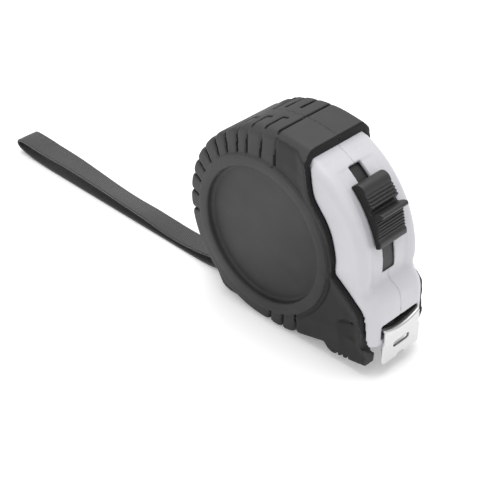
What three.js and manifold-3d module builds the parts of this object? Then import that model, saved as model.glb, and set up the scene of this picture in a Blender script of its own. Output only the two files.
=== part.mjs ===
// Pocket tape measure: a 5 m by 19 mm steel blade on a sprung reel, in a two-part casing with rubber
// grips, a thumb lock, an end hook, a belt clip and a wrist strap. Millimetres, +Z up, the hook on +X.
import * as THREE from 'three';
import { mergeVertices } from 'three/addons/utils/BufferGeometryUtils.js';
import Module from 'manifold-3d';

const wasm = await Module();
wasm.setup();

// ---- Driving dimensions. The middle plane of the casing is Y = 0 and the reel turns about X = 0.
const AXIS_Z = 36; // height of the reel's axis
const REAR_R = 35.9; // lower rear outline, about the reel's axis
const TOP_R = 40.3; // upper and front outline, which meets the rear outline at its rearmost point
const TOP_X = TOP_R - REAR_R; // centre of the upper outline, at the axis height
const FIT = 0.3; // clearance between pieces that meet
const SEAM = 0.15; // half the gap between the left and right halves

const GRIP_SIDE = 15.4; // half width over the grips, outside the ring
const RING_SIDE = 16.2; // half width over the rings
const RING_R = 29.9;
const RECESS_R = 25.65;
const RECESS_SIDE = 13.2; // half width at the floor of the round recess
const GRIP_SKIN = 1.9; // how far the casing lies under the grip's outline
const FOOT_SIDE = 14.6; // outer and inner half width of the feet under the nose
const FOOT_INNER = 9.1;

const CASE_SIDE = 14.1; // half width of the casing halves
const CASE_WALL = 1.8;
const CASE_RECESS_SIDE = 11.5; // half width at the casing's own round recess
const INNER_SIDE = 10.1; // half width of the reel space
const CORNER_SIDE = 12.3; // half width of the space around the reel
const RIM_ANGLE = THREE.MathUtils.degToRad(68.3); // where the grip ends on the upper outline
const NOSE_FRONT = 49.6;
const NOSE_BOTTOM = 10.6;
const FOOT_FRONT = 47;

const BLADE_HALF = 9.1; // half the width over the curved blade
const BLADE_SAG = 2.1; // height of its edges over its middle
const BLADE_T = 0.2;
const BLADE_Z = 17.8; // middle of the blade in the mouth
const COIL_R = 25.4;
const DRUM_R = 20.5;
const HOOK_T = 1;
const HOOK_BACK = NOSE_FRONT + FIT;
const HOOK_FRONT = HOOK_BACK + HOOK_T;
const RIVETS_X = [41.5, 45.5];

const SLOT_TOP = THREE.MathUtils.degToRad(57); // ends of the lock slot, about the upper centre
const SLOT_BOTTOM = THREE.MathUtils.degToRad(-1.7);
const SLOT_HALF = 2.9;
const ARM_R = 38.2; // outside of the lock arm
const CHANNEL_R = 39.6; // floor of the shallow channel that the button runs in
const CHANNEL_HALF = 8;
const BUTTON_TOP = THREE.MathUtils.degToRad(48);
const BUTTON_BOTTOM = THREE.MathUtils.degToRad(15.5);
const BUTTON_HALF = 6.8;

const PIN_X = -21; // strap pin
const PIN_Z = 6;
const STRAP_Y = -2; // the strap lies a little off the middle plane
const STRAP_HALF = 5;
const STRAP_T = 1.2;

const CLIP_SIDE = 19.2; // inner face of the clip's tongue
const CLIP_T = 0.9;
const CLIP_TIP = 21.3; // outermost point of the clip's lip

// The origin is the bottom centre of the object without its strap.
const CENTRE_X = (HOOK_FRONT - REAR_R) / 2;
const CENTRE_Y = (CLIP_TIP - RING_SIDE) / 2;

// ---- Materials
function material(color, roughness, metalness = 0) {
  return new THREE.MeshStandardMaterial({ color, roughness, metalness });
}
const rubber = material(0x3c3c3d, 0.75);
const lockPlastic = material(0x343536, 0.55);
const whitePlastic = material(0xdcdce2, 0.45);
const reelPlastic = material(0x2c3036, 0.5);
const nickel = material(0xcfd0cc, 0.25, 0.9);
const zincSteel = material(0x9b9da0, 0.35, 0.9);
const springSteel = material(0x6f7378, 0.35, 0.9);
const bladeLacquer = material(0xe8c53a, 0.4);
const webbing = material(0x3a3b3d, 0.9);
const black = material(0x1c1c1e, 0.7);

// ---- Solids
function solid(geometry) {
  const bare = geometry.clone();
  bare.deleteAttribute('normal');
  bare.deleteAttribute('uv');
  const merged = mergeVertices(bare, 1e-4);
  return new wasm.Manifold(new wasm.Mesh({
    numProp: 3,
    vertProperties: new Float32Array(merged.attributes.position.array),
    triVerts: new Uint32Array(merged.index.array),
  }));
}

function mesh(name, body, look) {
  const data = body.getMesh();
  const geometry = new THREE.BufferGeometry();
  geometry.setAttribute('position', new THREE.BufferAttribute(new Float32Array(data.vertProperties), 3));
  geometry.setIndex(new THREE.BufferAttribute(new Uint32Array(data.triVerts), 1));
  geometry.computeVertexNormals();
  const piece = new THREE.Mesh(geometry, look);
  piece.name = name;
  return piece;
}

// A plate of an XZ outline between two Y values, with its edges bevelled inwards if asked.
function plate(shape, low, high, bevel = null, curveSegments = 16) {
  const options = { depth: high - low, bevelEnabled: false, curveSegments };
  if (bevel) {
    Object.assign(options, {
      depth: high - low - 2 * bevel.along,
      bevelEnabled: true,
      bevelThickness: bevel.along,
      bevelSize: bevel.inward,
      bevelOffset: -bevel.inward,
      bevelSegments: bevel.steps,
    });
  }
  const geometry = new THREE.ExtrudeGeometry(shape, options);
  geometry.rotateX(Math.PI / 2);
  geometry.translate(0, high - (bevel ? bevel.along : 0), 0);
  return solid(geometry);
}

function polygon(points) {
  return new THREE.Shape(points.map(([x, z]) => new THREE.Vector2(x, z)));
}

function block(low, high) {
  const size = high.map((value, i) => value - low[i]);
  const centre = high.map((value, i) => (value + low[i]) / 2);
  return solid(new THREE.BoxGeometry(...size).translate(...centre));
}

// A disc or drum about the Y direction.
function drum(x, z, radius, low, high, segments = 36) {
  const geometry = new THREE.CylinderGeometry(radius, radius, high - low, segments);
  return solid(geometry.translate(x, (low + high) / 2, z));
}

// The same range on the left (side -1, towards -Y) or the right half (side 1).
function sideRange(side, inner, outer) {
  return side > 0 ? [inner, outer] : [-outer, -inner];
}

function sideBlock(side, x, y, z) {
  const [low, high] = sideRange(side, ...y);
  return block([x[0], low, z[0]], [x[1], high, z[1]]);
}

function bandShape(radius, thickness, from, to) {
  const shape = new THREE.Shape();
  shape.absarc(TOP_X, AXIS_Z, radius, from, to, false);
  shape.absarc(TOP_X, AXIS_Z, radius - thickness, to, from, true);
  shape.closePath();
  return shape;
}

// ---- Outlines in the XZ plane
// The whole casing without a hollow in its front, for bevelling its long edges.
function hullOutline() {
  const shape = new THREE.Shape();
  shape.moveTo(-REAR_R, AXIS_Z);
  shape.absarc(0, AXIS_Z, REAR_R, Math.PI, 1.5 * Math.PI, false);
  shape.lineTo(10, 0);
  shape.lineTo(28.6, 0);
  shape.lineTo(NOSE_FRONT, 8);
  shape.lineTo(NOSE_FRONT, 25);
  shape.lineTo(45.2, 39);
  shape.absarc(TOP_X, AXIS_Z, TOP_R, 0.12, Math.PI, false);
  return shape;
}

// The casing halves: full size at the nose, and set back by skin where the grips cover them.
function caseOutline(skin, nose) {
  const shape = new THREE.Shape();
  const covered = TOP_R - skin;
  const low = AXIS_Z - REAR_R + skin;
  shape.moveTo(TOP_X - covered, AXIS_Z);
  shape.absarc(0, AXIS_Z, REAR_R - skin, Math.PI, 1.5 * Math.PI, false);
  shape.lineTo(10, low);
  shape.lineTo(28.4, low + 5.2);
  shape.lineTo(31, NOSE_BOTTOM + nose);
  shape.lineTo(47.8 - nose, NOSE_BOTTOM + nose);
  shape.lineTo(NOSE_FRONT - nose, 12.6 + nose);
  shape.lineTo(NOSE_FRONT - nose, 23 - nose / 2);
  shape.lineTo(48.5 - nose, 29.6 - nose);
  shape.quadraticCurveTo(45 - nose, 31.4 - nose, 44.7 - nose, 34.6);
  shape.absarc(TOP_X, AXIS_Z, TOP_R - nose, -0.03, RIM_ANGLE, false);
  shape.absarc(TOP_X, AXIS_Z, covered, RIM_ANGLE + 0.006, Math.PI, false);
  return shape;
}

// The part of the side view that the grips leave open: everything in front of their rim.
function noseRegion() {
  const shape = new THREE.Shape();
  shape.moveTo(19.1, 90);
  shape.lineTo(19.1, 71);
  shape.splineThru([
    [20.2, 65.5], [23.3, 59.4], [27.3, 55], [30.2, 50], [31.9, 44.5], [32.5, 40], [32.8, 36.3],
    [38.2, 31.9], [43.9, 27.6], [45.4, 24.5], [45.8, 18], [46.4, 14.6], [47.9, 13.1],
  ].map(([x, z]) => new THREE.Vector2(x, z)));
  shape.lineTo(70, 13.1);
  shape.lineTo(70, 90);
  return shape;
}

// The block that holds the strap, as part of a grip and of the shell inside it.
const KEEPER_SIDE = 12;
const KEEPER_CORE_SIDE = 10.6;
const keeperOuter = [
  [-28, 18], [-26.4, 11.5], [-24.8, 5.6], [-22.8, 2.1], [-21.4, 0.9], [-18.5, 0], [10, 0], [4, 8], [-18, 19],
];
const keeperInner = [
  [-26.2, 17.5], [-24.9, 11], [-23.4, 6], [-21.9, 3.2], [-20.6, 2.1], [-18.3, 1.4], [-8, 1.3], [-8, 6], [-18, 18],
];

// ---- Cuts and bosses that both halves share
const SCREWS = [135, 222, -22, 62].map((degrees) => {
  const angle = THREE.MathUtils.degToRad(degrees);
  return [29.3 * Math.cos(angle), AXIS_Z + 29.3 * Math.sin(angle)];
});
const SCREW_HEAD_R = 2.6;
const SCREW_SHANK_R = 1.2;
const CLIP_SCREW_Z = 52;

function strapPocket() {
  return block([-45, -8.2, 2.9], [-19.1, 8.2, 9.1]);
}

function caseHalf(side, grow = 0) {
  const widest = CASE_SIDE + grow;
  const bevel = { along: 2.9, inward: 5, steps: 1 };
  let body = plate(caseOutline(GRIP_SKIN - grow, -grow), -widest, widest, null, 18)
    .intersect(plate(hullOutline(), -widest, widest, grow ? null : bevel, 18))
    .add(plate(polygon(keeperInner), -KEEPER_CORE_SIDE - grow, KEEPER_CORE_SIDE + grow));
  body = body.intersect(sideBlock(side, [-80, 80], [grow ? -1 : SEAM, 40], [-20, 120]));
  return body.subtract(caseRecess(side, grow));
}

function caseRecess(side, grow = 0) {
  return drum(0, AXIS_Z, RECESS_R + 1.9 - grow, ...sideRange(side, CASE_RECESS_SIDE + grow, 40));
}

function casingShell(side) {
  let body = caseHalf(side);
  const inside = caseOutline(GRIP_SKIN + CASE_WALL, 2);
  const [reelLow, reelHigh] = sideRange(side, -1, INNER_SIDE);
  const [cornerLow, cornerHigh] = sideRange(side, -1, CORNER_SIDE);
  const [coreLow, coreHigh] = sideRange(side, INNER_SIDE, 20);
  const corners = plate(inside, cornerLow, cornerHigh)
    .subtract(drum(0, AXIS_Z, RECESS_R + 3.6, coreLow, coreHigh));
  body = body.subtract(plate(inside, reelLow, reelHigh)).subtract(corners);
  // Bosses for the housing screws, and the pocket of the strap with its pin's holes.
  for (const [x, z] of SCREWS) {
    body = body.add(drum(x, z, 3.2, ...sideRange(side, SEAM, CORNER_SIDE + 0.5), 20));
  }
  body = body.subtract(caseRecess(side));
  body = body.subtract(strapPocket()).subtract(drum(PIN_X, PIN_Z, 1.5, -10.9, 10.9, 16));
  // Channel and slot of the lock, the thinner wall behind them and the mouth of the blade.
  const channel = bandShape(TOP_R + 2, TOP_R + 2 - CHANNEL_R, SLOT_BOTTOM, SLOT_TOP);
  const slot = bandShape(TOP_R + 2, 5, SLOT_BOTTOM, SLOT_TOP);
  const track = bandShape(ARM_R + FIT, 3, -0.3, RIM_ANGLE - 0.004);
  body = body.subtract(plate(channel, -CHANNEL_HALF, CHANNEL_HALF))
    .subtract(plate(slot, -SLOT_HALF, SLOT_HALF))
    .subtract(plate(track, -SLOT_HALF - 0.6, SLOT_HALF + 0.6))
    .subtract(block([40, -10, 15], [60, 10, 20.9]));
  body = body.subtract(block([48.2, -7.3, 12.7], [60, 7.3, 16.3]));
  for (const [x, z] of SCREWS) {
    if (side > 0) {
      body = body.subtract(drum(x, z, SCREW_HEAD_R + FIT, 10.9, 30, 24))
        .subtract(drum(x, z, SCREW_SHANK_R + FIT, -1, 30, 16));
    } else {
      body = body.subtract(drum(x, z, SCREW_SHANK_R + FIT, -9.5, 1, 16));
    }
  }
  if (side > 0) body = body.subtract(drum(0, CLIP_SCREW_Z, 1.6, 9, 30, 16));
  // Socket of the spring post on the side wall.
  return body.add(drum(0, AXIS_Z, 5, ...sideRange(side, 9.7, INNER_SIDE + 0.5), 24))
    .subtract(drum(0, AXIS_Z, 3.2, ...sideRange(side, 9, INNER_SIDE + 0.5), 24));
}

// ---- Grips
const LUG_GROOVES = [188, 177, 166, 155, 143.5, 132.5, 122, 112, 103];
const TOP_GROOVES = [-1.2, 5.8]; // upright ones, by X
const BELLY_GROOVES = [3.6, 9.6, 15.8];
const FOOT_NOTCHES = [34.4, 36.6, 39];
const TOP_PAD = [[24.5, 75.6], [17.2, 77.2], [10, 77.5], [5, 77.3], [0, 76.6]]; // stands proud at the rim
const TOP_PAD_END = THREE.MathUtils.degToRad(103); // where it meets the upper outline
const GROOVE_W = 1.1;
const GROOVE_DEPTH = 1.4;

// A groove that runs out from the ring, over the shoulder and in along the tread.
function radialGroove(degrees, side) {
  const angle = THREE.MathUtils.degToRad(degrees);
  const rise = Math.max(0, Math.sin(angle)) * TOP_X; // the tread lies further out towards the top
  const tread = new THREE.BoxGeometry(10, 9, GROOVE_W)
    .translate(REAR_R + rise - GROOVE_DEPTH + 5, side * 12, 0).rotateY(-angle).translate(0, 0, AXIS_Z);
  const flank = new THREE.BoxGeometry(14, 3, GROOVE_W)
    .translate(RING_R + 7.5, side * (GRIP_SIDE + 0.6), 0).rotateY(-angle).translate(0, 0, AXIS_Z);
  return solid(tread).add(solid(flank));
}

function uprightGroove(x, side, up) {
  const ring = AXIS_Z + up * (Math.sqrt(RING_R ** 2 - x ** 2) + 0.8);
  const crest = up > 0
    ? AXIS_Z + Math.sqrt(TOP_R ** 2 - (x - TOP_X) ** 2)
    : Math.max(0, (x - 10) * 0.28);
  const z = [Math.min(ring, crest + up * 5), Math.max(ring, crest + up * 5)];
  const cut = [crest - up * GROOVE_DEPTH, crest + up * 5].sort((a, b) => a - b);
  return sideBlock(side, [x - GROOVE_W / 2, x + GROOVE_W / 2], [GRIP_SIDE - 0.9, 30], z)
    .add(sideBlock(side, [x - GROOVE_W / 2, x + GROOVE_W / 2], [up > 0 ? 5 : 8, 30], cut));
}

function grip(side) {
  const bevel = { along: 3.2, inward: 3, steps: 2 };
  const outline = new THREE.Shape();
  outline.moveTo(-REAR_R, AXIS_Z);
  outline.absarc(0, AXIS_Z, REAR_R, Math.PI, 1.5 * Math.PI, false);
  outline.lineTo(10, 0);
  outline.lineTo(29.4, 5.2);
  outline.lineTo(FOOT_FRONT, 7);
  outline.lineTo(FOOT_FRONT, 36);
  outline.absarc(TOP_X, AXIS_Z, TOP_R, 0, 0.6, false);
  TOP_PAD.forEach(([x, z]) => outline.lineTo(x, z));
  outline.absarc(TOP_X, AXIS_Z, TOP_R, TOP_PAD_END, Math.PI, false);
  let body = plate(outline, -GRIP_SIDE, GRIP_SIDE, bevel, 18);
  body = body.add(plate(polygon(keeperOuter), -KEEPER_SIDE, KEEPER_SIDE, { along: 1, inward: 1, steps: 1 }));
  body = body.intersect(sideBlock(side, [-80, 80], [SEAM, 40], [-20, 120]));
  for (const degrees of LUG_GROOVES) body = body.subtract(radialGroove(degrees, side));
  for (const x of TOP_GROOVES) body = body.subtract(uprightGroove(x, side, 1));
  for (const x of BELLY_GROOVES) body = body.subtract(uprightGroove(x, side, -1));
  body = body.add(drum(0, AXIS_Z, RING_R, ...sideRange(side, 14, RING_SIDE)));
  body = body.subtract(sideBlock(side, [29.4, 80], [-1, FOOT_INNER], [-20, NOSE_BOTTOM + 1.4]));
  body = body.add(foot(side));
  body = body.subtract(plate(noseRegion(), -40, 40)).subtract(caseHalf(side, FIT));
  body = body.subtract(drum(0, AXIS_Z, RECESS_R, ...sideRange(side, RECESS_SIDE, 40)));
  body = body.subtract(strapPocket()).subtract(drum(PIN_X, PIN_Z, 1.5, -10.9, 10.9, 16));
  if (side > 0) {
    for (const [x, z] of SCREWS) body = body.subtract(drum(x, z, SCREW_HEAD_R + FIT, 0, 30, 24));
    body = body.subtract(drum(0, CLIP_SCREW_Z, 1.6, 0, 30, 16));
  }
  return body;
}

// The rail under the nose, with three small notches under its heel.
function foot(side) {
  const rail = polygon([
    [26, 9], [28.6, 5.4], [29.9, 3.6], [31.6, 2.6], [33.4, 2.5], [39.5, 3.6], [FOOT_FRONT, 5.1],
    [FOOT_FRONT, 16], [31, 16],
  ]);
  let body = plate(rail, ...sideRange(side, FOOT_INNER, FOOT_SIDE), { along: 0.5, inward: 0.5, steps: 1 });
  for (const x of FOOT_NOTCHES) {
    body = body.subtract(sideBlock(side, [x - 0.35, x + 0.35], [5, 20], [0, 3.9 + (x - 34.4) * 0.15]));
  }
  return body;
}

// ---- Lock
function lockArm() {
  const strip = plate(bandShape(ARM_R, 1.4, -0.23, RIM_ANGLE - 0.022), -SLOT_HALF, SLOT_HALF);
  const neck = plate(bandShape(CHANNEL_R, 2, BUTTON_BOTTOM + 0.1, BUTTON_TOP - 0.1), -2, 2);
  return strip.add(neck);
}

function onArc(radius, angle) {
  return [TOP_X + radius * Math.cos(angle), AXIS_Z + radius * Math.sin(angle)];
}

// The thumb button: a curved pad with a smooth hump on top, ribs, and a tall fin across its middle.
function lockButton() {
  const base = CHANNEL_R + FIT;
  const shape = new THREE.Shape();
  const steps = 44;
  const points = [];
  for (let i = 0; i <= steps; i += 1) {
    const t = i / steps;
    const angle = BUTTON_TOP + (BUTTON_BOTTOM - BUTTON_TOP) * t;
    points.push(onArc(base + buttonHeight(t), angle));
  }
  for (let i = 8; i >= 0; i -= 1) {
    points.push(onArc(base, BUTTON_TOP + (BUTTON_BOTTOM - BUTTON_TOP) * (i / 8)));
  }
  points.forEach(([x, z], i) => (i ? shape.lineTo(x, z) : shape.moveTo(x, z)));
  return plate(shape, -BUTTON_HALF, BUTTON_HALF)
    .subtract(plate(bandShape(base, 3, BUTTON_BOTTOM, BUTTON_TOP), -20, 20));
}

function buttonHeight(t) {
  if (t < 0.02 || t > 0.98) return 1.4;
  if (t < 0.24) return 4;
  if (t > 0.5 && t < 0.58) return 6.2;
  if (t > 0.9) return 2.6;
  return Math.floor(t * 44) % 2 ? 2.9 : 3.4;
}

function brakePad() {
  const top = onArc(ARM_R - 1.4 - FIT, -0.2);
  return block([top[0] - 5, -4.5, top[1] - 3.2], [top[0] - 0.2, 4.5, top[1] + 1.6]);
}

// ---- Reel
// A ring about the reel's axis.
function ring(outer, inner, low, high, segments = 40) {
  const profile = [[inner, low], [outer, low], [outer, high], [inner, high], [inner, low]]
    .map(([r, y]) => new THREE.Vector2(r, y));
  return solid(new THREE.LatheGeometry(profile, segments).translate(0, 0, AXIS_Z));
}

function reelDrum() {
  const web = ring(DRUM_R, 3.5, -9.5, -8.5);
  return web.add(ring(DRUM_R, DRUM_R - 1.6, -9, 8.2));
}

function reelCover() {
  return ring(DRUM_R - 0.4, 3.5, 8.5, 9.5).add(ring(DRUM_R - 1.9, DRUM_R - 3, 6.5, 9));
}

// A flat spiral of spring strip, wound from the post out towards the drum.
function powerSpring() {
  const turns = 6;
  const perTurn = 20;
  const inner = 4.4;
  const pitch = (DRUM_R - 3.6 - inner) / turns;
  const point = (step, radius) => {
    const angle = (2 * Math.PI * step) / perTurn;
    const r = inner + (pitch * step) / perTurn + radius;
    return new THREE.Vector2(r * Math.cos(angle), AXIS_Z + r * Math.sin(angle));
  };
  const outside = [];
  const back = [];
  for (let step = 0; step <= turns * perTurn; step += 1) {
    outside.push(point(step, 0.5));
    back.unshift(point(step, 0));
  }
  return plate(new THREE.Shape([...outside, ...back]), -7.8, 7.8);
}

function springPost() {
  return drum(0, AXIS_Z, 3, -10.4, 10.4, 24).subtract(block([-0.5, -7.8, AXIS_Z], [0.5, 20, AXIS_Z + 5]));
}

// ---- Blade and hook
// Centre line of the blade inside the casing: from the coil's underside up to the mouth.
const LEAD_START = new THREE.Vector2(4.6, AXIS_Z - 25.4);
const LEAD_LEVEL = 34;
function leadHeight(x) {
  if (x >= LEAD_LEVEL) return BLADE_Z;
  const span = LEAD_LEVEL - LEAD_START.x;
  const t = (x - LEAD_START.x) / span;
  const start = LEAD_START.y * (2 * t ** 3 - 3 * t ** 2 + 1) + span * 0.182 * (t ** 3 - 2 * t ** 2 + t);
  return start + BLADE_Z * (3 * t ** 2 - 2 * t ** 3);
}

// The blade is flat on the coil and takes its curved section on the way to the mouth.
function bladeRise(x, y) {
  const t = THREE.MathUtils.clamp((x - 10) / (LEAD_LEVEL - 10), 0, 1);
  return BLADE_SAG * t * t * (3 - 2 * t) * (y / BLADE_HALF) ** 2;
}

function tapeLead() {
  const end = HOOK_BACK - 0.2;
  const length = end - LEAD_START.x;
  const geometry = new THREE.BoxGeometry(length, 2 * BLADE_HALF, BLADE_T, 16, 8, 1);
  const position = geometry.attributes.position;
  for (let i = 0; i < position.count; i += 1) {
    const x = position.getX(i) + length / 2 + LEAD_START.x;
    const y = position.getY(i);
    position.setXYZ(i, x, y, position.getZ(i) + leadHeight(x) + bladeRise(x, y));
  }
  let body = solid(geometry);
  for (const x of RIVETS_X) body = body.subtract(upright(x, 0, 1.5, 15, 20, 16));
  return body;
}

function upright(x, y, radius, low, high, segments) {
  const geometry = new THREE.CylinderGeometry(radius, radius, high - low, segments);
  return solid(geometry.rotateX(Math.PI / 2).translate(x, y, (low + high) / 2));
}

// A curved strip under the blade, bent down into the plate that catches an edge.
function hook() {
  const tab = new THREE.BoxGeometry(HOOK_FRONT - 38, 17.6, 0.8, 1, 8, 1);
  const position = tab.attributes.position;
  for (let i = 0; i < position.count; i += 1) {
    const x = position.getX(i) + (HOOK_FRONT + 38) / 2;
    const y = position.getY(i);
    position.setXYZ(i, x, y, position.getZ(i) + BLADE_Z - 0.1 - FIT - 0.4 + bladeRise(LEAD_LEVEL, y));
  }
  const plateShape = new THREE.Shape();
  const half = [[9.7, 6], [9.7, 12.4], [8.9, 14.2], [8.9, 19.1]];
  plateShape.moveTo(0, 6);
  plateShape.lineTo(1.4, 5);
  plateShape.lineTo(8.7, 5);
  half.forEach(([y, z]) => plateShape.lineTo(y, z));
  plateShape.quadraticCurveTo(0, 15.3, -8.9, 19.1);
  half.slice(0, 3).reverse().forEach(([y, z]) => plateShape.lineTo(-y, z));
  plateShape.lineTo(-8.7, 5);
  plateShape.lineTo(-1.4, 5);
  const facing = new THREE.ExtrudeGeometry(plateShape, { depth: HOOK_T, bevelEnabled: false, curveSegments: 12 });
  facing.rotateX(Math.PI / 2).rotateZ(Math.PI / 2).translate(HOOK_BACK, 0, 0);
  let body = solid(facing).add(solid(tab));
  body = body.subtract(block([HOOK_BACK - 1, -4.2, 9.9], [HOOK_FRONT + 1, 4.2, 11.9]));
  for (const x of RIVETS_X) {
    body = body.subtract(block([x - 2.4, -1.45, 14], [x + 1.5, 1.45, 20]));
  }
  return body;
}

function hookRivet(x) {
  return upright(x, 0, 1.1, 15.7, 18.8, 16).add(upright(x, 0, 2, 15.6, 16.2, 16))
    .add(upright(x, 0, 2, 18.4, 18.9, 16));
}

function hookBumper() {
  return block([48.5, -7, 13], [NOSE_FRONT - 0.05, 7, 16]);
}

// ---- Fasteners, clip and strap
function housingScrew([x, z]) {
  return drum(x, z, SCREW_HEAD_R, 11.2, 12.9, 24).add(drum(x, z, SCREW_SHANK_R, -9.2, 12, 16))
    .subtract(block([x - 2, 12.3, z - 0.3], [x + 2, 14, z + 0.3]))
    .subtract(block([x - 0.3, 12.3, z - 2], [x + 0.3, 14, z + 2]));
}

// A sprung tongue that stands off the right side, open downwards, with a flared lip.
function beltClip() {
  const foot = RECESS_SIDE + FIT;
  const centre = [
    [foot + 0.45, 57], [foot + 0.45, 46], [foot + 1.2, 44], [CLIP_SIDE - 0.4, 40.6], [CLIP_SIDE + 0.45, 38.5],
    [CLIP_SIDE + 0.2, 25], [CLIP_SIDE - 0.4, 17.5], [CLIP_TIP - 0.5, 12],
  ];
  const shape = new THREE.Shape();
  const side = (offset) => centre.map(([y, z], i) => {
    const before = centre[Math.max(i - 1, 0)];
    const after = centre[Math.min(i + 1, centre.length - 1)];
    const along = new THREE.Vector2(after[0] - before[0], after[1] - before[1]).normalize();
    return new THREE.Vector2(y + along.y * offset, z - along.x * offset);
  });
  shape.setFromPoints([...side(CLIP_T / 2), ...side(-CLIP_T / 2).reverse()]);
  const geometry = new THREE.ExtrudeGeometry(shape, { depth: 13, bevelEnabled: false });
  geometry.rotateX(Math.PI / 2).rotateZ(Math.PI / 2).translate(-6.5, 0, 0);
  return solid(geometry).subtract(drum(0, CLIP_SCREW_Z, 1.7, 0, 30, 20));
}

function clipScrew() {
  const seat = RECESS_SIDE + FIT + CLIP_T + 0.15;
  return drum(0, CLIP_SCREW_Z, 3, seat, seat + 1.2, 24).add(drum(0, CLIP_SCREW_Z, 1.3, 10.4, seat + 0.5, 16))
    .subtract(block([-2, seat + 0.6, CLIP_SCREW_Z - 0.35], [2, seat + 3, CLIP_SCREW_Z + 0.35]));
}

// The strap's centre line, from over the pin out to its fold and back under the pin.
const STRAP_ROUTE = [
  [-21.6, 8.1], [-25, 7.6], [-29, 6.3], [-36, 4.7], [-43, 3.6], [-50, 3.0], [-57, 2.95], [-65, 3.5],
  [-74, 4.3], [-84, 4.9], [-102, 5.9], [-118, 6.4], [-134, 6.1], [-144, 6.4], [-149.6, 6.2], [-151.2, 4.6],
  [-149.6, 3.0], [-144, 1.6], [-134, 0.8], [-118, 0.7], [-100, 0.7], [-80, 0.7], [-62, 0.7],
  [-46, 0.7], [-36, 0.95], [-30.5, 1.8], [-27.6, 2.9], [-25.4, 3.65], [-23.4, 3.8], [-21.8, 3.8],
];

function strap() {
  const points = STRAP_ROUTE.map(([x, z]) => new THREE.Vector3(x, STRAP_Y, z));
  const path = new THREE.CatmullRomCurve3(points, false, 'centripetal');
  const section = new THREE.Shape();
  section.moveTo(-STRAP_HALF, -STRAP_T / 2);
  section.lineTo(STRAP_HALF, -STRAP_T / 2);
  section.lineTo(STRAP_HALF, STRAP_T / 2);
  section.lineTo(-STRAP_HALF, STRAP_T / 2);
  return solid(new THREE.ExtrudeGeometry(section, { steps: 80, extrudePath: path, bevelEnabled: false }));
}

// ---- Assembly
const casing = new THREE.Group();
casing.add(
  mesh('shell_left', casingShell(-1), whitePlastic),
  mesh('shell_right', casingShell(1), whitePlastic),
  mesh('grip_left', grip(-1), rubber),
  mesh('grip_right', grip(1), rubber),
  mesh('spring_post', springPost(), zincSteel),
  mesh('power_spring', powerSpring(), springSteel),
  mesh('hook_bumper', hookBumper(), black),
  mesh('belt_clip', beltClip(), nickel),
  mesh('belt_clip_screw', clipScrew(), zincSteel),
  mesh('strap_pin', drum(PIN_X, PIN_Z, 1.2, -10.6, 10.6, 16), zincSteel),
  mesh('strap', strap(), webbing),
);
SCREWS.forEach((place, i) => casing.add(mesh(`housing_screw_${i + 1}`, housingScrew(place), zincSteel)));

const reel = new THREE.Group();
reel.add(
  mesh('reel_drum', reelDrum(), reelPlastic),
  mesh('reel_cover', reelCover(), reelPlastic),
  mesh('tape_coil', ring(COIL_R, DRUM_R + 0.3, -9.5, 9.5), bladeLacquer),
);

const blade = new THREE.Group();
blade.add(mesh('tape_lead', tapeLead(), bladeLacquer), mesh('hook', hook(), nickel));
RIVETS_X.forEach((x, i) => blade.add(mesh(`hook_rivet_${i + 1}`, hookRivet(x), zincSteel)));

const lock = new THREE.Group();
lock.add(
  mesh('lock_button', lockButton(), lockPlastic),
  mesh('lock_arm', lockArm(), lockPlastic),
  mesh('brake_pad', brakePad(), black),
);

const tapeMeasure = new THREE.Group();
tapeMeasure.add(casing, reel, blade, lock);
tapeMeasure.position.set(-CENTRE_X, -CENTRE_Y, 0);
tapeMeasure.updateMatrixWorld(true);

export default tapeMeasure;
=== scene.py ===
"""A pocket tape measure with a wrist strap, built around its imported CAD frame.

Shapes are set out in millimetres from the middle of the reel's axis, at floor height:
x forwards to the hook, y to the clip side and z up. Every mesh is then moved to its place in metres.
"""

import math

import bpy
import numpy as np
from mathutils import Matrix, Vector


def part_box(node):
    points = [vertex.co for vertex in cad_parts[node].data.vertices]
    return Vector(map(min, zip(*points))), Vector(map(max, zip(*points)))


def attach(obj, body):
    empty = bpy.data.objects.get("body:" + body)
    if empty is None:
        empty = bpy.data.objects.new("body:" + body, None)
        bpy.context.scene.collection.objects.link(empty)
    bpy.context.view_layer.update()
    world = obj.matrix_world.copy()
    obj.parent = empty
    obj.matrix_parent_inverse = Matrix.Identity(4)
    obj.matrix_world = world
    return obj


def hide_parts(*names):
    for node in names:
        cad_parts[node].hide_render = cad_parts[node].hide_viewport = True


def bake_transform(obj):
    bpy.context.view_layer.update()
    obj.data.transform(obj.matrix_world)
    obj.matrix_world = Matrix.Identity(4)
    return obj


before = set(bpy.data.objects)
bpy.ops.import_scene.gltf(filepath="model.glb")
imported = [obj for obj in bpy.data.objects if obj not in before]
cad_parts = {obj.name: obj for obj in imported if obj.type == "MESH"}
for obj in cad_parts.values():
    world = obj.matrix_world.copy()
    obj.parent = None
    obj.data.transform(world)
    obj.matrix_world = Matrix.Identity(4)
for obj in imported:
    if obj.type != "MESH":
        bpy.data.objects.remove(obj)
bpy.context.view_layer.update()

coil_low, coil_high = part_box("tape_coil")
PLACE = Vector(((coil_low.x + coil_high.x) / 2, (coil_low.y + coil_high.y) / 2, 0.0))

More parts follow.
